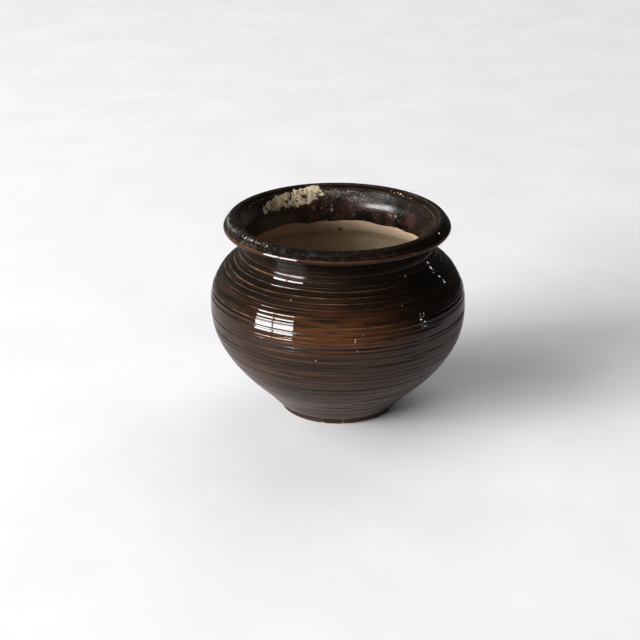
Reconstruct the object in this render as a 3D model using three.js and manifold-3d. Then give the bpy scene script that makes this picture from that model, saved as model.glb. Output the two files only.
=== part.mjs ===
// A round stoneware bonsai pot, thrown on a wheel: clay body, glaze coat and the mineral crust on its rim.
// Millimetres, +Z up. The origin is where the throwing axis meets the table that the foot ring stands on.
import * as THREE from "three";
import { mergeVertices } from "three/addons/utils/BufferGeometryUtils.js";
import Module from "manifold-3d";

// Driving dimensions. Outside, over the glaze:
const potHeight = 100.4;
const bellyRadius = 63.5;
const bellyHeight = 54;
const footRadius = 28.8;
const footHeight = 2.8;
const neckRadius = 47.2;
const neckHeight = 85.6;
const rimRadius = 55.9;
const rimBandTop = 97.1;
const rimBandBottom = 94;
const crestRadius = 51.5;
// Inside, over the glaze down to its lower edge:
const lipRadius = 50.3;
const lipStepRadius = 47.5;
const lipStepHeight = 98.3;
const throatRadius = 43.4;
const throatHeight = 86;
const glazeLineHeight = 82.4;
// Inside, on bare clay:
const wallThickness = 5.6;
const floorTop = 7.2;
const floorRadius = 19;
// The base:
const baseRecess = 2.2;
const footRingWidth = 5.2;
const drainRadius = 6.5;
// The glaze and the crust on it:
const glazeThickness = 0.5;
const glazeFootGap = 0.8;
const crustThickness = 0.6;

// How finely the curves are cut: round the axis, up the belly and down the wall inside.
const turns = 48;
const bellySteps = 16;
const liningSteps = 9;
const crustCorners = 22;
const weldDistance = 1e-3;

const wasm = await Module();
wasm.setup();

const point = (radius, height) => new THREE.Vector2(radius, height);

// The glaze's outer skin, from its edge just above the table up to the outer corner of the rim.
function outerSkin() {
  const belly = new THREE.SplineCurve([
    point(footRadius + 1.4, footHeight + 0.4),
    point(37.7, 10.9),
    point(48.4, 21.2),
    point(56.4, 31.4),
    point(61.6, 41.8),
    point(bellyRadius, bellyHeight),
    point(62.5, 64.4),
    point(57.8, 73.6),
    point(neckRadius + 1.3, neckHeight - 2.8),
  ]);
  return [
    point(footRadius, glazeFootGap),
    point(footRadius + 0.5, footHeight),
    ...belly.getSpacedPoints(bellySteps),
    point(neckRadius, neckHeight),
    point(neckRadius + 0.8, neckHeight + 3.4),
    point(neckRadius + 3.2, neckHeight + 6.2),
    point(rimRadius - 0.9, rimBandBottom),
    point(rimRadius, rimBandTop),
    point(rimRadius - 0.4, rimBandTop + 0.6),
  ];
}

// The skin over the top of the rim: the crest, the soft lip inside it and the step below the lip.
function rimTopSkin() {
  return [
    point(crestRadius + 0.8, potHeight - 0.2),
    point(crestRadius, potHeight),
    point(lipRadius, potHeight - 0.1),
    point(lipStepRadius, lipStepHeight),
  ];
}

// The skin that rolls down through the throat to the glaze's lower edge.
function throatSkin() {
  return [
    point(lipStepRadius - 1.1, lipStepHeight - 2.2),
    point(lipStepRadius - 2.6, lipStepHeight - 5.8),
    point(throatRadius + 0.2, throatHeight + 2.4),
    point(throatRadius, throatHeight - 1.2),
    point(throatRadius + 0.4, glazeLineHeight),
  ];
}

// Moves an open outline sideways, to the left of its direction.
function offsetOutline(outline, distance) {
  return outline.map((here, i) => {
    const before = outline[Math.max(i - 1, 0)];
    const after = outline[Math.min(i + 1, outline.length - 1)];
    const along = after.clone().sub(before).normalize();
    return point(here.x - along.y * distance, here.y + along.x * distance);
  });
}

// Bare clay inside: from below the glaze's edge down the wall, and over the floor to the drain hole.
function lining() {
  const wall = new THREE.SplineCurve([
    point(throatRadius + 2, glazeLineHeight - 4),
    point(51.8, 71),
    point(bellyRadius - wallThickness, bellyHeight),
    point(50.4, 31),
    point(37, 16.4),
    point(floorRadius, floorTop),
  ]);
  return [...wall.getSpacedPoints(liningSteps), point(drainRadius, floorTop)];
}

// Under the pot: the recessed base, and the foot ring that touches the table.
function underside() {
  return [
    point(drainRadius, baseRecess),
    point(footRadius - footRingWidth - 1, baseRecess),
    point(footRadius - footRingWidth, 0),
    point(footRadius - glazeThickness - 0.4, 0),
  ];
}

// Turns a closed outline round the Z axis. Its corners run anticlockwise with the radius to the right.
function turned(outline) {
  return new THREE.LatheGeometry([...outline, outline[0]], turns).rotateX(Math.PI / 2);
}

const skin = [...outerSkin(), ...rimTopSkin(), ...throatSkin()];
const clayUnderSkin = offsetOutline(skin, glazeThickness);

function clayBody() {
  return turned([...clayUnderSkin, ...lining(), ...underside()]);
}

function glazeCoat() {
  return turned([...skin, ...clayUnderSkin.toReversed()]);
}

function solidOf(geometry) {
  const bare = geometry.clone().deleteAttribute("normal").deleteAttribute("uv");
  const merged = mergeVertices(bare, weldDistance);
  const mesh = { numProp: 3, vertProperties: merged.attributes.position.array, triVerts: merged.index.array };
  return new wasm.Manifold(new wasm.Mesh(mesh));
}

function geometryOf(solid) {
  const { vertProperties, triVerts } = solid.getMesh();
  const geometry = new THREE.BufferGeometry();
  geometry.setAttribute("position", new THREE.BufferAttribute(vertProperties, 3));
  geometry.setIndex(new THREE.BufferAttribute(triVerts, 1));
  geometry.computeVertexNormals();
  return geometry;
}

// The closed shell that the crust is cut from lies right on the glaze, from the rim's outer corner inwards.
const crustedSkin = [outerSkin().at(-1), ...rimTopSkin(), ...throatSkin().slice(0, 3)];
const crustShell = solidOf(
  turned([...offsetOutline(crustedSkin, -crustThickness), ...crustedSkin.toReversed()]),
);

// A patch of crust is cut from the shell by a ragged plan outline round a middle point on the rim.
// The angle is in degrees anticlockwise from +X, and the span is the patch's length along the rim.
function crustPatch({ angle, radius, span, width, lobes }) {
  const outline = new THREE.Shape();
  for (let i = 0; i < crustCorners; i++) {
    const round = (i / crustCorners) * 2 * Math.PI;
    const ragged = 1 + 0.16 * Math.sin(lobes * round + angle) + 0.09 * Math.sin((2 * lobes + 1) * round);
    const bearing = THREE.MathUtils.degToRad(angle) + (Math.cos(round) * ragged * span) / (2 * radius);
    const reach = radius + (Math.sin(round) * ragged * width) / 2;
    const corner = [reach * Math.cos(bearing), reach * Math.sin(bearing)];
    if (i === 0) outline.moveTo(...corner);
    else outline.lineTo(...corner);
  }
  outline.closePath();
  const cutter = new THREE.ExtrudeGeometry(outline, { depth: potHeight, bevelEnabled: false });
  return geometryOf(crustShell.intersect(solidOf(cutter.translate(0, 0, neckHeight))));
}

const crustPatches = {
  crust_back_left: { angle: 120, radius: 47.1, span: 36, width: 5.4, lobes: 3 },
  crust_back: { angle: 83, radius: 46.9, span: 20, width: 4, lobes: 4 },
  crust_rim_left: { angle: 188, radius: 53.2, span: 18, width: 2.8, lobes: 3 },
  crust_rim_front_left: { angle: 226, radius: 52.4, span: 8, width: 1.8, lobes: 3 },
  crust_rim_right: { angle: 52, radius: 48.6, span: 4, width: 2.4, lobes: 2 },
};

function named(name, geometry, finish) {
  const mesh = new THREE.Mesh(geometry, new THREE.MeshStandardMaterial(finish));
  mesh.name = name;
  return mesh;
}

const bareClay = { color: 0xa8957a, roughness: 0.9, metalness: 0 };
const brownGlaze = { color: 0x2e2016, roughness: 0.12, metalness: 0 };
const tanCrust = { color: 0xb3a48c, roughness: 0.95, metalness: 0 };

const pot = new THREE.Group();
pot.add(named("clay_body", clayBody(), bareClay));
pot.add(named("glaze_coat", glazeCoat(), brownGlaze));
for (const [name, patch] of Object.entries(crustPatches)) {
  pot.add(named(name, crustPatch(patch), tanCrust));
}

export default pot;
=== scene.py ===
# A small round stoneware bonsai pot with a dark brown gloss glaze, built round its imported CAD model.
# Lengths in this script are millimetres, and angles are degrees anticlockwise from +X, seen from above.
# They become metres and radians where they reach Blender. Lights, floor and camera are in metres.
import math

import bpy
import numpy as np
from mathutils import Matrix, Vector, noise


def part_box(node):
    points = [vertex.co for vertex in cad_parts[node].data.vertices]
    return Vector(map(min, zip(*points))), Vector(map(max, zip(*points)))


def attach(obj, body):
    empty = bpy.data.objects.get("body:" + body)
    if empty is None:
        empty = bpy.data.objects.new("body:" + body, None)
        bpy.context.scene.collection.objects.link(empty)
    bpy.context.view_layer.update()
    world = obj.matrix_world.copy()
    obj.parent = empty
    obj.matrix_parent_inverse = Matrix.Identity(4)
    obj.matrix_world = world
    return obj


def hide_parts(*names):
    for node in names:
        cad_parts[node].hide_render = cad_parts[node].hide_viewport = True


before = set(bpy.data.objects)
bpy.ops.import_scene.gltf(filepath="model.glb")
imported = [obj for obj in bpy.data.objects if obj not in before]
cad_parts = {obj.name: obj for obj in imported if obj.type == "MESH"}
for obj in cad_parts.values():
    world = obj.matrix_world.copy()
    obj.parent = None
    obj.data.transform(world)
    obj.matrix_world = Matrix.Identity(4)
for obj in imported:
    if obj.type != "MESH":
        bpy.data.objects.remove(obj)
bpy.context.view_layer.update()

MM = 0.001
glaze_low, glaze_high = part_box("glaze_coat")
belly_radius = glaze_high.x / MM
pot_height = glaze_high.z / MM
glaze_foot_gap = glaze_low.z / MM

# Outside, over the glaze. The ridges are cut into this skin, so their crests lie on it.
belly_height = 54
foot_radius = 28.8
neck_radius = 47.2
neck_height = 85.6
rim_radius = 55.8
rim_band_bottom = 94
rim_band_top = 97.1
rim_rise = 0.3
crest_height = pot_height - rim_rise
crest_radius = 51.5
lip_radius = 50.3
lip_step_radius = 47.5
lip_step_height = 98.3
throat_radius = 43.4
glaze_line_height = 83.2
# Inside, on bare clay, and under the base.
wall_thickness = 5.6
floor_top = 7.2
floor_radius = 19
base_recess = 2.2
foot_ring_width = 5.2
drain_radius = 6.5
# The throwing axis wanders: at these heights it is this far to the right.
axis_heights = (0, 20, 55, 84, 97, 104)
axis_to_right = (0.1, 0.5, 0, -0.3, -0.55, -0.6)

glaze_thickness = 0.5
# The glaze's underside also clears the deepest trough between two ridges.
underside_depth = 0.95
clay_clearance = 0.06

# Points round the axis.
glaze_segments = 208
clay_segments = 192
random = np.random.default_rng(7)


# ---------------------------------------------------------------- curves and meshes

def smooth_through(x, knots, values):
    """The smooth curve through the knots, at x."""
    knots = np.asarray(knots, float)
    values = np.asarray(values, float)
    slopes = np.gradient(values, knots)
    i = np.clip(np.searchsorted(knots, x, side="right") - 1, 0, len(knots) - 2)
    span = knots[i + 1] - knots[i]
    t = np.clip((x - knots[i]) / span, 0, 1)
    return (
        values[i] * (1 + 2 * t) * (1 - t) ** 2
        + values[i + 1] * t**2 * (3 - 2 * t)
        + slopes[i] * span * t * (1 - t) ** 2
        - slopes[i + 1] * span * t**2 * (1 - t)
    )


class Outline:
    """A smooth open line in the (radius, height) plane. Its outside is to the right of its direction."""

    def __init__(self, points, step=0.05):
        points = np.array(points, float)
        chords = np.hypot(*np.diff(points, axis=0).T)
        knots = np.r_[0, np.cumsum(chords)]
        fine = np.arange(0, knots[-1], step)
        self.radius = smooth_through(fine, knots, points[:, 0])
        self.height = smooth_through(fine, knots, points[:, 1])
        along = np.hypot(np.gradient(self.radius), np.gradient(self.height))
        self.out_radius = np.gradient(self.height) / along
        self.out_height = -np.gradient(self.radius) / along
        self.length = np.r_[0, np.cumsum(np.hypot(np.diff(self.radius), np.diff(self.height)))]

    def at(self, length, offset=0.0):
        """(radius, height) at this length along the line, moved outwards by the offset."""
        radius, height, out_radius, out_height = (
            np.interp(length, self.length, values)
            for values in (self.radius, self.height, self.out_radius, self.out_height)
        )
        return radius + out_radius * offset, height + out_height * offset

    def nearest(self, radius, height):
        """The length along the line that is closest to this point."""
        return self.length[np.argmin(np.hypot(self.radius - radius, self.height - height))]


def wavering(azimuth, waves):
    """Random smooth waves round the axis, within about -1 to 1, from these numbers of waves a turn."""
    total = np.zeros_like(azimuth)
    for count in waves:
        total += random.uniform(0.4, 1) * np.sin(count * azimuth + random.uniform(0, 2 * np.pi))
    return total / math.sqrt(len(waves))


def bump(x, middle, width):
    """A smooth bump of height 1."""
    return np.exp(-(((x - middle) / width) ** 2))


def rise(x, start, length):
    """0 up to the start, 1 from this length past it, and a straight slope between them."""
    return np.clip((x - start) / length, 0, 1)


def turn_from(azimuth, degrees):
    """How far each azimuth, in radians, is from this one, in degrees from -180 to 180."""
    return (np.degrees(azimuth) - degrees + 180) % 360 - 180


def round_bump(azimuth, degrees, width):
    """A smooth bump of height 1 round the axis, this many degrees from +X and this wide, in degrees."""
    return bump(turn_from(azimuth, degrees), 0, width)


def placed(radius, height, azimuth):
    """Points of the pot in metres. The throwing axis wanders a little, and the rim rises to the back."""
    x = radius * np.cos(azimuth) + smooth_through(height, axis_heights, axis_to_right)
    y = radius * np.sin(azimuth)
    lifted = rise(height, belly_height, crest_height - belly_height) ** 2
    z = height + rim_rise * lifted * y / crest_radius
    return np.stack([x, y, z], axis=-1) * MM


def mesh_piece(name, points, faces, attributes=None):
    """A smooth shaded object of these points and faces, with one number a point in each attribute."""
    mesh = bpy.data.meshes.new(name)
    mesh.from_pydata(points.reshape(-1, 3), [], faces.tolist())
    for key, values in (attributes or {}).items():
        attribute = mesh.attributes.new(key, "FLOAT", "POINT")
        attribute.data.foreach_set("value", np.ascontiguousarray(values, np.float32).ravel())
    mesh.shade_smooth()
    mesh.update()
    piece = bpy.data.objects.new(name, mesh)
    bpy.context.scene.collection.objects.link(piece)
    return piece


def ring_faces(rows, segments):
    """Faces of a closed tube of rings: row i joins row i + 1, and the last row joins the first."""
    row, segment = np.meshgrid(np.arange(rows), np.arange(segments), indexing="ij")
    next_row = (row + 1) % rows
    next_segment = (segment + 1) % segments
    corners = (
        row * segments + segment,
        row * segments + next_segment,
        next_row * segments + next_segment,
        next_row * segments + segment,
    )
    return np.stack(corners, axis=-1).reshape(-1, 4)


# ---------------------------------------------------------------- the pot's outline

# Up the outside from the foot, over the rim and down the throat to just past the glaze's lower edge.
skin = Outline([
    (foot_radius, glaze_foot_gap - 0.6),
    (foot_radius + 0.1, 1.2),
    (foot_radius + 0.4, 2.3),
    (foot_radius + 0.9, 3.0),
    (foot_radius + 1.9, 3.8),
    (37.6, 10.9),
    (48.3, 21.2),
    (56.3, 31.4),
    (61.5, 41.8),
    (belly_radius - 0.05, belly_height),
    (62.4, 64.4),
    (57.7, 73.6),
    (neck_radius + 2.5, neck_height - 4.9),
    (neck_radius + 1.85, neck_height - 4.2),
    (neck_radius + 1.5, neck_height - 3.1),
    (neck_radius + 0.35, neck_height - 1.9),
    (neck_radius, neck_height - 1.1),
    (neck_radius + 0.15, neck_height + 0.6),
    (neck_radius + 1.3, neck_height + 3.2),
    (neck_radius + 2.8, neck_height + 5.3),
    (neck_radius + 5.4, rim_band_bottom - 1.4),
    (rim_radius - 1.9, rim_band_bottom - 0.8),
    (rim_radius - 0.6, rim_band_bottom + 0.1),
    (rim_radius - 0.1, rim_band_bottom + 0.9),
    (rim_radius, rim_band_bottom + 1.5),
    (rim_radius - 0.3, rim_band_top - 0.6),
    (rim_radius - 1.0, rim_band_top + 0.4),
    (crest_radius + 2.0, crest_height - 0.9),
    (crest_radius + 0.7, crest_height - 0.1),
    (crest_radius, crest_height),
    (lip_radius + 0.3, crest_height - 0.05),
    (lip_radius - 0.2, crest_height - 0.35),
    (lip_step_radius + 0.7, lip_step_height + 0.35),
    (lip_step_radius, lip_step_height - 0.1),
    (lip_step_radius - 0.4, lip_step_height - 0.8),
    (throat_radius + 2.9, lip_step_height - 2.3),
    (throat_radius + 0.9, 92.2),
    (throat_radius + 0.2, 89.6),
    (throat_radius, 86),
    (throat_radius + 0.3, 82.4),
    (throat_radius + 0.9, 79.8),
])
# Lengths along it.
foot_start = skin.nearest(foot_radius, glaze_foot_gap)
foot_top = skin.nearest(foot_radius + 1.2, 3.3)
neck_start = skin.nearest(neck_radius, neck_height)
rim_corner = skin.nearest(rim_radius, rim_band_top - 1)
crest_at = skin.nearest(crest_radius, crest_height)
lip_edge = skin.nearest(lip_radius, crest_height - 0.2)
lip_step = skin.nearest(lip_step_radius + 0.1, lip_step_height)


def on_outside(height):
    """The length along the skin of this height on the pot's outside."""
    outside = skin.length < neck_start
    return np.interp(height, skin.height[outside], skin.length[outside])


def in_throat(height):
    """The length along the skin of this height inside the rim."""
    inside = skin.length > crest_at
    return np.interp(-np.asarray(height), -skin.height[inside], skin.length[inside])


def on_bevel(height):
    """The length along the skin of this height on the slope from the rim's outer corner to its crest."""
    bevel = (skin.length > rim_corner) & (skin.length < crest_at)
    return np.interp(height, skin.height[bevel], skin.length[bevel])


# ---------------------------------------------------------------- the glaze coat

# The turned marks, upwards. Grooves: height and depth.
grooves = [
    (9.4, 0.12),
    (12.2, 0.22),
    (15.5, 0.26),
    (18.0, 0.2),
    (22.0, 0.28),
    (25.0, 0.22),
    (28.5, 0.28),
    (31.2, 0.3),
    (35.2, 0.22),
    (37.5, 0.26),
    (40.0, 0.22),
    (42.5, 0.26),
    (45.5, 0.3),
    (47.5, 0.34),
    (50.0, 0.26),
    (53.6, 0.28),
    (55.4, 0.34),
    (61.6, 0.12),
    (62.3, 0.16),
]
# Grooves under this height fade round the pot and are nearly worn away where the window is mirrored.
worn_below = 58
worn_azimuth = 240
worn_width = 16
worn_share = 0.95
# Ridges, from the belly up: height, strength, and the depth and length of the steep step under each.
ridges = [
    (57.0, 0.3, 0.02, 0.5),
    (58.3, 0.45, 0.03, 0.5),
    (60.8, 0.4, 0.03, 0.6),
    (63.3, 0.4, 0.06, 0.6),
    (65.3, 0.9, 0.1, 0.6),
    (66.4, 0.3, 0.14, 0.5),
    (67.6, 0.3, 0.12, 0.5),
    (69.6, 0.5, 0.04, 0.6),
    (71.5, 0.4, 0.05, 0.6),
    (73.0, 0.6, 0.05, 0.6),
    (74.0, 0.3, 0.03, 0.6),
    (75.4, 0.7, 0.06, 0.7),
    (77.3, 0.7, 0.1, 0.8),
    (79.5, 0.6, 0.5, 1.0),
    (80.8, 0.4, 0.05, 0.5),
    (82.8, 0.9, 0.05, 0.4),
]
ridge_height = 0.1
crest_width = 0.28
crest_colour_width = 0.32
groove_width = 0.36
# How dark the grooves are coloured: glaze pooling in them, and painted shade in place of their depth.
groove_pool_and_shade = 4.5
# Painted shade: the ridges' pale colour is mostly taken away on the right shoulder, the side in shade.
dark_side = 318
dark_side_width = 32
# Rows of faces: this far above the mark below, and this far below the mark above.
rows_above = np.array([0, 0.15, 0.38])
rows_below = np.array([1.25, 0.95, 0.6, 0.35, 0.15])
closest_marks = 2.0
foot_rows = 8
rim_row_step = 0.37
throat_row_height = 88
drip_rows = 12
underside_rows = 26
bead_turns = (25, 60, 95, 130)
# Soft lips on the rim, and the faint rings between them.
lip_width = 0.35
lip_height = 0.09
lip_paleness = 0.5
ring_height = 0.018
# Drips on the glaze's edge in the throat, and chips in its edge at the foot: azimuth, depth and width.
drips = [(139, 0.9, 5), (110, 1.8, 7), (95, 0.9, 6), (60, 1.1, 8), (38, 0.8, 5)]
chips = [(255, 1.0, 1.3), (275.5, 0.9, 1.1)]


class Mark:
    """A turned mark. Place is its length along the skin, and strength is how far its crest stands out. Step
    and step_length are the size of the steep step under it. Cut is its groove's depth, and dark is how dark
    its groove is coloured: glaze pooling in it, and painted shade that stands in for its depth."""

    def __init__(self, place, strength, step=0, step_length=1, cut=0, dark=0):
        self.place = place
        self.strength = strength
        self.step = step
        self.step_length = step_length
        self.cut = cut
        self.dark = dark


def straying(azimuth, broad):
    """How far a mark goes up and down round the pot, in broad waves of about this size and in fine ones."""
    return broad * wavering(azimuth, (1, 2, 3)) + 0.07 * wavering(azimuth, (5, 8, 13))


def turned_marks(azimuth):
    """The marks round the pot, upwards, from the foot to the neck."""
    left = 1 - worn_share * round_bump(azimuth, worn_azimuth, worn_width)
    marks = [Mark(np.full_like(azimuth, foot_top), 0.5), Mark(np.full_like(azimuth, neck_start), 0)]
    for height, depth in grooves:
        place = on_outside(height + straying(azimuth, 0.2))
        fading = np.clip(0.8 + 0.7 * wavering(azimuth, (1, 3, 4, 7, 11)), 0.1, 1.3)
        cut = depth * fading * left if height < worn_below else depth
        marks.append(Mark(place, 0.3 * fading, cut=cut, dark=depth * fading))
    for height, strength, step, step_length in ridges:
        place = on_outside(height + straying(azimuth, 0.16))
        fading = np.clip(0.8 + 0.4 * wavering(azimuth, (1, 2, 4, 7)), 0.1, 1.2)
        marks.append(Mark(place, strength * fading, step, step_length))
    return sorted(marks, key=lambda mark: mark.place.mean())


def ridged_rows(azimuth):
    """Rows from the foot to the neck: length along the skin, offset and crest value for each segment."""
    # Painted shade: less pale colour on the ridges of the right shoulder.
    lit = 1 - 0.6 * round_bump(azimuth, dark_side, dark_side_width)
    marks = turned_marks(azimuth)
    for below, above in zip(marks, marks[1:]):
        gap = above.place - below.place
        squeeze = np.minimum(gap / closest_marks, 1)
        middle = (rows_above[-1] * squeeze + gap - rows_below[0] * squeeze) / 2
        places = [share * squeeze for share in rows_above] + [middle]
        places += [gap - share * squeeze for share in rows_below]
        for up in places:
            down = gap - up
            crest = below.strength * np.exp(-up / crest_width)
            crest = crest + above.strength * np.exp(-down / crest_width)
            step = above.step * rise(down, 0, above.step_length) * up / gap
            near_below = bump(up, 0, groove_width)
            near_above = bump(down, 0, groove_width)
            groove = below.cut * near_below + above.cut * near_above
            dark = below.dark * near_below + above.dark * near_above
            pale = below.strength * bump(up, 0, crest_colour_width)
            pale = pale + above.strength * bump(down, 0, crest_colour_width)
            offset = ridge_height * (np.clip(crest, 0, 1) - 1) - groove - step
            yield below.place + up, offset, pale * lit - groove_pool_and_shade * dark


def glaze_edge(azimuth):
    """The length along the skin where the glaze stops inside the neck, after a few broad drips."""
    height = glaze_line_height + 0.35 * wavering(azimuth, (2, 3, 5, 9))
    for degrees, depth, width in drips:
        height -= depth * round_bump(azimuth, degrees, width)
    return in_throat(height)


def foot_edge(azimuth):
    """The length along the skin where the glaze starts above the table, with small chips in its edge."""
    start = foot_start + 0.1 * wavering(azimuth, (3, 5, 11, 17))
    for degrees, depth, width in chips:
        start += depth * round_bump(azimuth, degrees, width)
    return np.maximum(start, foot_start)


def rim_rows():
    """Rows from the neck over the rim into the throat."""
    for length in np.arange(neck_start, in_throat(throat_row_height), rim_row_step):
        lips = bump(length, lip_edge, lip_width) + bump(length, lip_step, lip_width)
        rings = ring_height * math.sin(5.1 * length) * math.sin(1.3 * length)
        ridges_end = ridge_height * 0.9 * np.exp((neck_start - length) / 2)
        yield length, lip_height * lips + rings - ridges_end, lip_paleness * lips


def edge_rows(start, end):
    """Rows round the bead at the glaze's edge in the throat, and back under the glaze to the foot."""
    bead = glaze_thickness / 2
    for turn in np.radians(bead_turns):
        yield end + bead * math.sin(turn), -bead * (1 - math.cos(turn)), 0
    for share in np.linspace(0, 1, underside_rows):
        bulge = math.sin(math.pi * share) ** 0.3
        depth = glaze_thickness + (underside_depth - glaze_thickness) * bulge
        yield end + (start - end) * share, -depth, 0


def glaze_rows(azimuth):
    """All rows of the glaze's closed shell, in order: up the outside, over the rim, and back underneath."""
    start = foot_edge(azimuth)
    end = glaze_edge(azimuth)
    rows = []
    for share in np.linspace(0, 1, foot_rows, endpoint=False):
        rows.append((start + (foot_top - start) * share, 0, 0))
    rows.extend(ridged_rows(azimuth))
    rows.extend(rim_rows())
    last = rows[-1][0]
    for share in np.linspace(0, 1, drip_rows + 1)[1:]:
        rows.append((last + (end - last) * share, 0, 0))
    rows.extend(edge_rows(start, end))
    return rows


def glaze_zones(azimuth, lengths, height):
    """Where the glaze looks different, from 0 to 1 at each point: the rim's outer corner, a grey haze on
    the rim and in the throat, the throat itself, the neck outside, and thin amber glaze on the belly."""
    rim_top = rise(lengths, rim_corner, 0.5) * rise(-lengths, -lip_edge, 0.8)
    haze = rim_top * (0.15 + 0.85 * round_bump(azimuth, 195, 50))
    haze += 0.7 * (lengths > lip_edge) * bump(height, 95.5, 3.5) * round_bump(azimuth, 92, 34)
    return {
        "edge": bump(lengths, rim_corner, 0.65),
        "haze": haze,
        "throat": rise(lengths, lip_step, 1.5),
        "neck": rise(height, neck_height - 2.2, 0.8) * rise(-lengths, 1.2 - rim_corner, 2),
        "thin": round_bump(azimuth, 268, 30) * bump(height, 62, 9),
    }


def glaze_piece():
    azimuth = np.linspace(0, 2 * np.pi, glaze_segments, endpoint=False)
    rows = glaze_rows(azimuth)
    grid = np.array([[part + 0 * azimuth for part in row] for row in rows])
    lengths, offsets, crests = grid[:, 0], grid[:, 1], grid[:, 2]
    radius, height = skin.at(lengths, offsets)
    points = placed(radius, height, azimuth)
    attributes = {"crest": crests, **glaze_zones(azimuth, lengths, height)}
    return mesh_piece("glaze", points, ring_faces(len(rows), glaze_segments), attributes)


# ---------------------------------------------------------------- the clay

clay_rows = 60
wall_row_step = 0.8
throwing_ring = 0.06


def wall_inside():
    """Points down the bare wall inside and over the floor to the drain hole, with soft throwing rings."""
    wall = Outline([
        (throat_radius + 0.8, glaze_line_height - 2),
        (throat_radius + 2.3, 78),
        (51.8, 71),
        (belly_radius - wall_thickness, belly_height),
        (50.4, 31),
        (37, 16.4),
        (floor_radius + 2, floor_top + 0.7),
        (floor_radius - 3, floor_top),
        (drain_radius + 0.6, floor_top),
    ])
    lengths = np.arange(0, wall.length[-1], wall_row_step)
    rings = throwing_ring * np.sin(lengths * 1.35) * rise(lengths, 0, 6)
    rings *= rise(-lengths, -wall.length[-1], 12)
    return np.stack(wall.at(lengths, rings), axis=-1)


def underside():
    """Points down the drain hole, under the recessed base and round the foot ring."""
    ring_inside = foot_radius - foot_ring_width
    return [
        (drain_radius + 0.1, floor_top - 0.5),
        (drain_radius, floor_top - 1.2),
        (drain_radius, base_recess + 0.5),
        (drain_radius + 0.4, base_recess),
        (ring_inside - 1.6, base_recess),
        (ring_inside - 0.9, base_recess - 0.2),
        (ring_inside - 0.2, 0.4),
        (ring_inside + 0.3, 0),
        (foot_radius - 1.3, 0),
        (foot_radius - 0.8, 0.2),
    ]


def clay_outline():
    """The clay's closed outline: up under the glaze, down the bare wall inside, and under the base."""
    hidden = np.linspace(foot_start, in_throat(glaze_line_height + 1), clay_rows)
    cover = np.full_like(hidden, underside_depth + clay_clearance)
    cover[[0, -1]] = glaze_thickness + clay_clearance
    under_glaze = np.stack(skin.at(hidden, -cover), axis=-1)
    return np.concatenate([under_glaze, wall_inside(), underside()])


def clay_piece():
    azimuth = np.linspace(0, 2 * np.pi, clay_segments, endpoint=False)
    outline = clay_outline()
    radius = outline[:, :1] + 0 * azimuth
    height = outline[:, 1:] + 0 * azimuth
    points = placed(radius, height, azimuth)
    return mesh_piece("clay", points, ring_faces(len(outline), clay_segments))


# ---------------------------------------------------------------- mineral crust

# Where the crust lies: azimuth, lowest height and highest height.
back_left_crust = [
    (97, 95.4, 98.8),
    (101, 93.2, 100),
    (107, 91.2, 100),
    (114, 89.8, 99.8),
    (124, 90.4, 99.2),
    (132, 90.8, 98.6),
    (140, 89.8, 97.6),
    (147, 91.6, 95.8),
]
back_crust = [(64, 92.5, 95), (72, 90.8, 98.2), (84, 91.2, 99.2), (94, 93.4, 99.2), (101, 95.5, 99)]
rim_left_crust = [(158, 98.8, 99.9), (176, 97.9, 100), (194, 97.7, 100), (208, 98.4, 99.9)]
rim_front_left_crust = [(212, 98.8, 99.9), (222, 98.2, 100), (234, 98.9, 99.9)]
rim_right_crust = [(38, 98.0, 99.2), (48, 97.9, 99.8), (57, 98.2, 99.4)]
# The crust breaks up within this distance of its border.
ragged_edge = 2.4
# How many crumbs there are in a millimetre, and how far apart the mesh's points are.
crumb_scale = 2.3
crust_step = 0.2
# How deep the flat back of the crust, and the skirts between its islands, lie in the glaze.
crust_back_depth = 0.45
crust_skirt_depth = 0.3


def crumbly(spots, grain):
    """Fractal noise at each spot: islands of this grain with small crumbs on them."""
    field = np.zeros(spots.shape[:-1])
    for i, j in np.ndindex(*field.shape):
        spot = Vector(spots[i, j])
        islands = noise.fractal(spot / grain, 0.7, 2.1, 5)
        crumbs = noise.fractal(spot * crumb_scale, 0.8, 2.2, 3)
        field[i, j] = 0.9 * islands + 0.25 * crumbs
    return field


def crust_piece(name, level, border, grain, cover, relief):
    """Crust on the skin inside a ragged border: a closed layer that shows where it rises above the glaze.
    level turns heights into lengths along the skin, and the border is a list of (azimuth, lowest, highest).
    grain is the size of its islands, cover is from 0, bare, to 1, whole, and relief is its thickness."""
    degrees, lowest, highest = np.array(border, float).T
    azimuths = np.arange(math.radians(degrees[0]), math.radians(degrees[-1]), crust_step / lip_step_radius)
    near = level(smooth_through(np.degrees(azimuths), degrees, highest))
    far = level(smooth_through(np.degrees(azimuths), degrees, lowest))
    shares = np.linspace(0, 1, int(np.max(np.abs(far - near)) / crust_step))
    azimuth, share = np.meshgrid(azimuths, shares, indexing="ij")
    length = near[:, None] + (far - near)[:, None] * share
    along = np.minimum(azimuth - azimuths[0], azimuths[-1] - azimuth) * lip_step_radius
    across = np.minimum(share, 1 - share) * np.abs(far - near)[:, None]
    inside = np.minimum(along, across) / ragged_edge
    field = crumbly(placed(*skin.at(length), azimuth) / MM, grain)
    field += cover - 1.4 * np.clip(1 - inside, 0, 1)
    return crust_mesh(name, azimuth, length, np.clip(field, -1, 1) * relief, relief)


def border_edges(faces):
    """The edges that only one of these faces has, in its direction."""
    edges = {}
    for face in faces.tolist():
        for start, end in zip(face, face[1:] + face[:1]):
            if (end, start) in edges:
                del edges[(end, start)]
            else:
                edges[(start, end)] = True
    return edges


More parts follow.
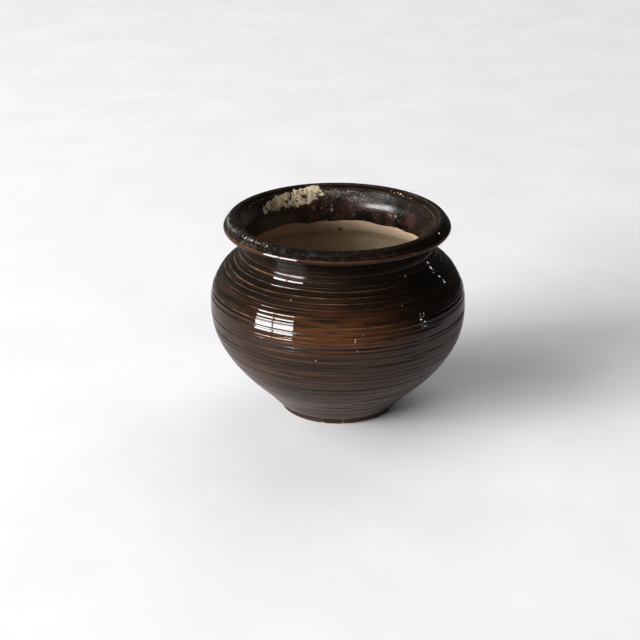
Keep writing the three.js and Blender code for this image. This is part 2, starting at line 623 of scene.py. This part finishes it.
def crust_mesh(name, azimuth, length, top, relief):
    """A closed mesh of the cells whose top comes out of the glaze, with a flat back under the skin."""
    shown = top > -0.4 * relief
    cell = shown[:-1, :-1] | shown[1:, :-1] | shown[:-1, 1:] | shown[1:, 1:]
    index = np.arange(top.size).reshape(top.shape)
    a = index[:-1, :-1][cell]
    b = index[1:, :-1][cell]
    c = index[1:, 1:][cell]
    d = index[:-1, 1:][cell]
    front = np.stack([a, b, c, d], axis=-1)
    back = front[:, ::-1] + top.size
    sides = [(end, start, start + top.size, end + top.size) for start, end in border_edges(front)]
    outer = placed(*skin.at(length, np.maximum(top, -crust_skirt_depth)), azimuth)
    inner = placed(*skin.at(length, -crust_back_depth), azimuth)
    points = np.concatenate([outer.reshape(-1, 3), inner.reshape(-1, 3)])
    used, faces = np.unique(np.concatenate([front, back, sides]), return_inverse=True)
    return mesh_piece(name, points[used], faces.reshape(-1, 4))


# ---------------------------------------------------------------- materials

# Small pale specks on the glaze outside: azimuth, height and radius.
specks = [
    (260.6, 49.5, 0.38),
    (277.4, 59.1, 0.3),
    (277.5, 59.8, 0.34),
    (277.6, 60.5, 0.28),
    (278.3, 54.7, 0.3),
    (281, 62.3, 0.34),
    (247, 75.8, 0.32),
    (301, 72.4, 0.3),
    (82, 66, 0.4),
    (150, 58.5, 0.35),
    (20, 71, 0.35),
]
# Pale spots in the throat, in the same way.
throat_spots = [(94, 88.3, 1.1), (47, 88.8, 0.9), (50.5, 88.2, 0.6), (101, 89.6, 0.5), (78, 94.6, 0.7)]
# A dark stain on the clay inside, at the back, as a point in millimetres.
clay_stain = (1, 46.2, 76.5)
# The glaze turns from black to brown between these heights.
black_above = 66
brown_below = 50


def srgb(red, green, blue):
    """A colour as it looks on a screen, from 0 to 255, as linear light for a shader."""
    values = [c / 255 for c in (red, green, blue)]
    return (*(c / 12.92 if c <= 0.04045 else ((c + 0.055) / 1.055) ** 2.4 for c in values), 1)


class Material:
    """A node material: add() makes a node, sets its properties and joins or sets its inputs."""

    def __init__(self, name):
        self.material = bpy.data.materials.new(name)
        self.material.use_nodes = True
        self.tree = self.material.node_tree
        self.shader = self.tree.nodes["Principled BSDF"]
        self.position = self.add("ShaderNodeTexCoord").outputs["Object"]
        along = self.add("ShaderNodeSeparateXYZ", {0: self.position}).outputs
        self.to_right = along["X"]
        self.height = along["Z"]

    def add(self, kind, inputs=(), **settings):
        node = self.tree.nodes.new(kind)
        for key, value in settings.items():
            setattr(node, key, value)
        self.join(node, dict(inputs))
        return node

    def join(self, node, inputs):
        for key, value in inputs.items():
            if isinstance(value, bpy.types.NodeSocket):
                self.tree.links.new(value, node.inputs[key])
            else:
                node.inputs[key].default_value = value

    def noise(self, scale, detail=3.0, roughness=0.55, stretch=(1, 1, 1)):
        """Noise from 0 to 1. A grain is about 1 / scale metres, and narrower where stretch is over 1."""
        spot = self.position
        if stretch != (1, 1, 1):
            stretching = self.add("ShaderNodeVectorMath", {0: spot, 1: stretch}, operation="MULTIPLY")
            spot = stretching.outputs[0]
        inputs = {"Vector": spot, "Scale": scale, "Detail": detail, "Roughness": roughness}
        return self.add("ShaderNodeTexNoise", inputs).outputs["Fac"]

    def attribute(self, name):
        return self.add("ShaderNodeAttribute", attribute_name=name).outputs["Fac"]

    def distance(self, spot):
        """The distance in metres from this point."""
        node = self.add("ShaderNodeVectorMath", {0: self.position, 1: tuple(spot)}, operation="DISTANCE")
        return node.outputs["Value"]

    def ramp(self, value, low, high, to_low=0.0, to_high=1.0):
        """The value's stretch from low to high, spread smoothly from to_low to to_high."""
        inputs = {"Value": value, "From Min": low, "From Max": high, "To Min": to_low, "To Max": to_high}
        node = self.add("ShaderNodeMapRange", inputs, interpolation_type="SMOOTHSTEP")
        return node.outputs["Result"]

    def sum(self, a, b):
        return self.add("ShaderNodeMath", {0: a, 1: b}, operation="ADD", use_clamp=True).outputs[0]

    def times(self, a, b):
        return self.add("ShaderNodeMath", {0: a, 1: b}, operation="MULTIPLY", use_clamp=True).outputs[0]

    def mix(self, share, a, b):
        """Colour a where the share is 0, and b where it is 1."""
        node = self.add("ShaderNodeMix", data_type="RGBA")
        self.join(node, {0: share, 6: a, 7: b})
        return node.outputs[2]

    def bumps(self, *layers):
        """Bumps of (height, distance in mm), one on the other."""
        normal = None
        for height, distance in layers:
            inputs = {"Height": height, "Distance": distance * MM, "Strength": 1.0}
            if normal is not None:
                inputs["Normal"] = normal
            normal = self.add("ShaderNodeBump", inputs).outputs["Normal"]
        self.join(self.shader, {"Normal": normal})

    def finish(self, **inputs):
        self.join(self.shader, {key.replace("_", " "): value for key, value in inputs.items()})
        return self.material


def thick_glaze(m, throat):
    """The glaze's own colour, nearly black above and browner below, with fine streaks along the turning."""
    black = srgb(10, 7, 5)
    low = m.ramp(m.height, black_above * MM, brown_below * MM)
    upper = m.mix(m.ramp(m.noise(26, 3), 0.42, 0.68), black, srgb(20, 14, 9))
    lower = m.mix(m.ramp(m.noise(20, 3), 0.35, 0.65), srgb(22, 15, 11), srgb(40, 27, 19))
    body = m.mix(low, upper, lower)
    streaks = m.ramp(m.noise(22, 4, 0.6, (1, 1, 46)), 0.47, 0.7)
    streaks = m.times(streaks, m.ramp(low, 0, 1, 0.3, 0.75))
    streaks = m.times(streaks, m.ramp(throat, 0, 1, 1, 0.15))
    body = m.mix(streaks, body, srgb(70, 49, 33))
    veins = m.ramp(m.noise(24, 4, 0.6, (1, 1, 60)), 0.54, 0.66)
    return m.mix(m.times(veins, 0.7), body, black)


def thin_glaze(m, body, pooled_and_shaded, crest):
    """Amber where the glaze is thin, black where it pools in the grooves with painted shade there, and pale
    where it breaks over an edge.
    """
    amber = m.times(m.attribute("thin"), m.ramp(m.noise(40, 5, 0.65, (1, 1, 9)), 0.3, 0.6))
    body = m.mix(m.times(amber, 0.6), body, srgb(92, 52, 26))
    body = m.mix(pooled_and_shaded, body, srgb(8, 5, 4))
    breaking = m.ramp(m.noise(120, 4, 0.6, (1, 1, 3)), 0.35, 0.7, 0.15, 1.0)
    body = m.mix(m.times(m.ramp(crest, 0.08, 0.8), breaking), body, srgb(106, 82, 63))
    edge = m.ramp(m.attribute("edge"), 0.3, 1.0)
    return m.mix(m.times(edge, m.ramp(breaking, 0, 1, 0.35, 0.7)), body, srgb(92, 56, 32))


def throat_mottling(m, body, throat):
    """Rusty blotches and pale dust on the glaze inside the rim."""
    rust = m.ramp(m.noise(85, 5, 0.7), 0.42, 0.66, 0.0, 0.75)
    body = m.mix(m.times(throat, rust), body, srgb(66, 42, 37))
    dust = m.ramp(m.noise(420, 4, 0.65), 0.61, 0.7, 0.0, 0.55)
    return m.mix(m.times(throat, dust), body, srgb(120, 112, 100))


def pale_specks_and_spots(m, body):
    """Pale specks outside and broken spots in the throat."""
    for azimuth, height, radius in specks:
        away = m.distance(placed(*skin.at(on_outside(height)), np.radians(azimuth)))
        speck = m.ramp(away, 0.6 * radius * MM, radius * MM, 1.0, 0.0)
        body = m.mix(speck, body, srgb(190, 180, 166))
    for azimuth, height, radius in throat_spots:
        away = m.distance(placed(*skin.at(in_throat(height)), np.radians(azimuth)))
        spot = m.ramp(away, 0.2 * radius * MM, 1.3 * radius * MM, 1.0, 0.0)
        spot = m.times(spot, m.ramp(m.noise(700, 3, 0.7), 0.4, 0.6))
        body = m.mix(spot, body, srgb(128, 122, 116))
    return body


def glaze_material():
    """Dark iron glaze: nearly black where it is thick, amber where it runs thin over ridges and edges.
    Painted shade darkens its grooves and dims the ridges on the right shoulder.
    """
    m = Material("brown_glaze")
    throat = m.attribute("throat")
    neck = m.attribute("neck")
    crest = m.attribute("crest")
    # Black glaze pooling in the grooves, which also paints shade in them.
    pooled_and_shaded = m.ramp(crest, -0.9, 0.0, 0.9, 0.0)
    haze = m.times(m.attribute("haze"), m.ramp(m.noise(260, 6, 0.72), 0.47, 0.68))
    body = thin_glaze(m, thick_glaze(m, throat), pooled_and_shaded, crest)
    body = pale_specks_and_spots(m, throat_mottling(m, body, throat))
    body = m.mix(m.times(haze, 0.5), body, srgb(84, 84, 81))
    dull = m.times(throat, m.ramp(m.noise(60, 3), 0.3, 0.7, 0.2, 0.42))
    dull = m.sum(dull, m.times(neck, 0.18))
    dull = m.sum(dull, m.times(pooled_and_shaded, 0.4))
    gloss = m.sum(m.ramp(m.noise(300, 3), 0.3, 0.8, 0.02, 0.06), m.times(haze, 0.3))
    level = m.ramp(neck, 0, 1, 0.5, 0.2)
    m.bumps((m.noise(420, 3), 0.01), (m.noise(70, 2, 0.5, (1, 1, 14)), 0.03))
    return m.finish(Base_Color=body, Roughness=m.sum(gloss, dull), IOR=1.42, Specular_IOR_Level=level)


def clay_material():
    """Bare buff stoneware: painted shade at the left, flashed orange under the glaze, stained and sandy."""
    m = Material("buff_clay")
    body = m.mix(m.ramp(m.noise(38, 4), 0.35, 0.7), srgb(188, 168, 142), srgb(216, 196, 170))
    # Painted shade: the clay darkens towards the left, where the rim shades the inside.
    painted_shade_at_left = m.ramp(m.to_right, 0.03, -0.02, 0.0, 0.6)
    body = m.mix(painted_shade_at_left, body, srgb(112, 92, 64))
    flash = m.ramp(m.height, (glaze_line_height - 6) * MM, (glaze_line_height - 0.5) * MM)
    flash = m.times(flash, m.ramp(m.noise(60, 3), 0.3, 0.6, 0.5, 1))
    body = m.mix(m.times(flash, 0.5), body, srgb(176, 132, 98))
    stains = m.ramp(m.noise(75, 5, 0.62), 0.62, 0.78)
    body = m.mix(m.times(stains, 0.5), body, srgb(96, 78, 58))
    stain = m.ramp(m.distance(np.array(clay_stain) * MM), 0.0008, 0.0022, 0.75, 0.0)
    body = m.mix(stain, body, srgb(52, 38, 26))
    grain = m.noise(1500, 3)
    body = m.mix(m.ramp(grain, 0.35, 0.75, 0, 0.3), body, srgb(120, 100, 78))
    m.bumps((grain, 0.12), (m.noise(300, 4), 0.2))
    return m.finish(Base_Color=body, Roughness=m.ramp(grain, 0.2, 0.8, 0.8, 0.95))


def crust_material(name, pale, deep, pit_scale):
    """Dried mineral crust: matt and crumbly, between a pale and a deep colour, with pits."""
    m = Material(name)
    body = m.mix(m.ramp(m.noise(170, 5, 0.65), 0.32, 0.68), deep, pale)
    pits = m.ramp(m.noise(pit_scale, 4, 0.6), 0.55, 0.75)
    body = m.mix(m.times(pits, 0.6), body, srgb(88, 76, 62))
    m.bumps((m.noise(900, 4), 0.15), (m.noise(2600, 2), 0.08))
    return m.finish(Base_Color=body, Roughness=m.ramp(m.noise(500), 0.2, 0.8, 0.85, 1))


def floor_material(name, pale):
    """A plain matt table with the faintest unevenness."""
    m = Material(name)
    body = m.mix(m.ramp(m.noise(14, 3), 0.3, 0.7), srgb(*(0.98 * c for c in pale)), srgb(*pale))
    roughness = m.ramp(m.noise(60), 0.2, 0.8, 0.7, 0.8)
    return m.finish(Base_Color=body, Roughness=roughness, Specular_IOR_Level=0.0)


# ---------------------------------------------------------------- the object's pieces

def add_piece(piece, material, slot, node):
    piece.data.materials.append(material)
    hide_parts(node)
    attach(piece, "root")


def build_crust():
    tan = crust_material("tan_crust", srgb(208, 192, 162), srgb(156, 138, 112), 420)
    grey = crust_material("grey_crust", srgb(98, 99, 92), srgb(52, 52, 49), 700)
    pale = crust_material("pale_crust", srgb(158, 152, 142), srgb(84, 80, 74), 700)
    # The node it replaces, its place and border, grain, cover and relief, and its material and slot.
    patches = (
        ("crust_back_left", in_throat, back_left_crust, 2.6, 0.38, 0.27, tan, "tan_crust"),
        ("crust_back", in_throat, back_crust, 0.9, -0.08, 0.14, grey, "grey_crust"),
        ("crust_rim_left", on_bevel, rim_left_crust, 1.3, 0.6, 0.1, grey, "grey_crust"),
        ("crust_rim_front_left", on_bevel, rim_front_left_crust, 1.1, 0.55, 0.15, pale, "tan_crust"),
        ("crust_rim_right", in_throat, rim_right_crust, 1.2, 0.4, 0.2, tan, "tan_crust"),
    )
    for node, level, border, grain, cover, relief, material, slot in patches:
        piece = crust_piece(node + "_grains", level, border, grain, cover, relief)
        add_piece(piece, material, slot, node)


def build_pot():
    add_piece(glaze_piece(), glaze_material(), "glaze", "glaze_coat")
    add_piece(clay_piece(), clay_material(), "clay", "clay_body")
    build_crust()


# ---------------------------------------------------------------- floor, light and camera, in metres

def build_floor():
    """A big white table, and the near round of it that the glaze mirrors, as if the table ended there.
    That round is greyer than the table: painted shade in the reflection.
    """
    half = 2.4
    corners = np.array([(-half, -half, 0), (half, -half, 0), (half, half, 0), (-half, half, 0)])
    floor = mesh_piece("floor", corners, np.array([[0, 1, 2, 3]]))
    floor.data.materials.append(floor_material("white_floor", (233, 233, 235)))
    floor.visible_glossy = False
    reach = 0.28
    lift = 0.0002
    sides = 64
    turns = np.linspace(0, 2 * np.pi, sides, endpoint=False)
    edge = np.stack([reach * np.cos(turns), reach * np.sin(turns), lift + 0 * turns], axis=-1)
    mirrored = mesh_piece("mirrored_floor", edge, np.arange(sides)[None, :])
    # Painted shade: the mirrored round is a greyer copy of the table, so the glaze mirrors a dimmer table.
    mirrored.data.materials.append(floor_material("mirrored_floor", (190, 184, 184)))
    mirrored.visible_camera = False
    mirrored.visible_diffuse = False
    mirrored.visible_shadow = False


def facing(direction):
    """A rotation that points an object's -Z along this direction, with its X level."""
    return direction.to_track_quat("-Z", "Y").to_euler()


def area_light(name, location, target, size, radiance, glossy=True, diffuse=True):
    """A rectangular light of this radiance, width and height, aimed at a target."""
    light = bpy.data.lights.new(name, "AREA")
    light.shape = "RECTANGLE"
    light.size = size[0]
    light.size_y = size[1]
    light.energy = radiance * math.pi * size[0] * size[1]
    lamp = bpy.data.objects.new(name, light)
    lamp.location = location
    lamp.rotation_euler = facing(Vector(target) - Vector(location))
    lamp.visible_camera = False
    lamp.visible_glossy = glossy
    lamp.visible_diffuse = diffuse
    bpy.context.scene.collection.objects.link(lamp)


def tangent(degrees):
    return math.tan(math.radians(degrees))


def build_window():
    """A big window at the left, a little in front of the pot: two tall panes with a bar between them.
    Their sides are angles from the window's middle, and their bottom and top are angles from level."""
    distance = 3.2
    bearing = math.radians(212.5)
    radiance = 31
    out = Vector((math.cos(bearing), math.sin(bearing), 0))
    side = Vector((-out.y, out.x, 0))
    bottom = distance * tangent(-9)
    top = distance * tangent(20)
    for name, first, last in (("pane_back", -18, -1.6), ("pane_front", 0.1, 18.5)):
        near = distance * tangent(first)
        far = distance * tangent(last)
        place = out * distance + side * (near + far) / 2 + Vector((0, 0, (bottom + top) / 2))
        area_light(name, place, place - out, (far - near, top - bottom), radiance)


def build_lamps():
    """Small lamps far off at the right, which only show as glints on the ridges."""
    distance = 2.0
    size = 0.05
    radiance = 50
    # Name, bearing and elevation.
    lamps = (("lamp_high", 42, 22), ("lamp_front", -13, 4), ("lamp_side", -9, 10))
    for name, bearing, elevation in lamps:
        turn = math.radians(bearing)
        place = distance * Vector((math.cos(turn), math.sin(turn), tangent(elevation)))
        area_light(name, place, (0, 0, 0), (size, size), radiance, diffuse=False)


def build_fill():
    """Soft light for the shadows, which the glaze doesn't mirror: the ceiling, the bright wall at the left,
    the sky through the top of the window, and the room behind the camera."""
    # Location, target, width and height, and radiance.
    fills = (
        ("ceiling", (0.6, 2.2, 2.0), (0.2, 0.3, 0), (3, 3), 1.6),
        ("left_wall", (-2.0, -0.2, 1.9), (0.2, 0.2, 0), (1.6, 1.2), 4.2),
        ("sky", (-2.2, -1.2, 1.4), (0, 0, 0.05), (1.4, 0.8), 12),
        ("room_behind_camera", (0.1, -2.3, 1.6), (0, 0, 0), (2.4, 1.4), 0.5),
    )
    for name, location, target, size, radiance in fills:
        area_light(name, location, target, size, radiance, glossy=False)


def build_world():
    """A dim room for reflections, lighter at the left, and a pale backdrop for the camera."""
    light_at_left = 0.16
    light_at_right = 0.03
    world = bpy.data.worlds.new("room")
    world.use_nodes = True
    tree = world.node_tree
    backdrop = tree.nodes["Background"]
    backdrop.inputs["Color"].default_value = srgb(236, 236, 238)
    bearing = tree.nodes.new("ShaderNodeSeparateXYZ")
    coordinates = tree.nodes.new("ShaderNodeTexCoord")
    tree.links.new(coordinates.outputs["Generated"], bearing.inputs[0])
    towards_right = tree.nodes.new("ShaderNodeMapRange")
    towards_right.inputs["From Min"].default_value = -1.0
    towards_right.inputs["From Max"].default_value = 0.5
    towards_right.inputs["To Min"].default_value = light_at_left
    towards_right.inputs["To Max"].default_value = light_at_right
    tree.links.new(bearing.outputs["X"], towards_right.inputs["Value"])
    room = tree.nodes.new("ShaderNodeBackground")
    room.inputs["Color"].default_value = (1, 0.95, 0.92, 1)
    tree.links.new(towards_right.outputs["Result"], room.inputs["Strength"])
    path = tree.nodes.new("ShaderNodeLightPath")
    mix = tree.nodes.new("ShaderNodeMixShader")
    tree.links.new(path.outputs["Is Camera Ray"], mix.inputs[0])
    tree.links.new(room.outputs[0], mix.inputs[1])
    tree.links.new(backdrop.outputs[0], mix.inputs[2])
    tree.links.new(mix.outputs[0], tree.nodes["World Output"].inputs["Surface"])
    bpy.context.scene.world = world


def build_camera():
    """A short telephoto lens, looking down at the pot, which stands a little right of the middle."""
    distance = 0.8
    elevation = math.radians(22.35)
    aim = Vector((0, 0, 0.045))
    aside = Vector((-0.00895, 0, -0.0005))
    back = Vector((0, -math.cos(elevation), math.sin(elevation)))
    camera = bpy.data.cameras.new("camera")
    camera.lens = 89.5
    camera.sensor_width = 36
    camera.clip_start = 0.02
    camera.clip_end = 60
    eye = bpy.data.objects.new("camera", camera)
    eye.location = aim + back * distance
    eye.rotation_euler = facing(aim + aside - eye.location)
    bpy.context.scene.collection.objects.link(eye)
    bpy.context.scene.camera = eye


build_pot()
build_floor()
build_window()
build_lamps()
build_fill()
build_world()
build_camera()
bpy.context.scene.view_settings.view_transform = "Standard"
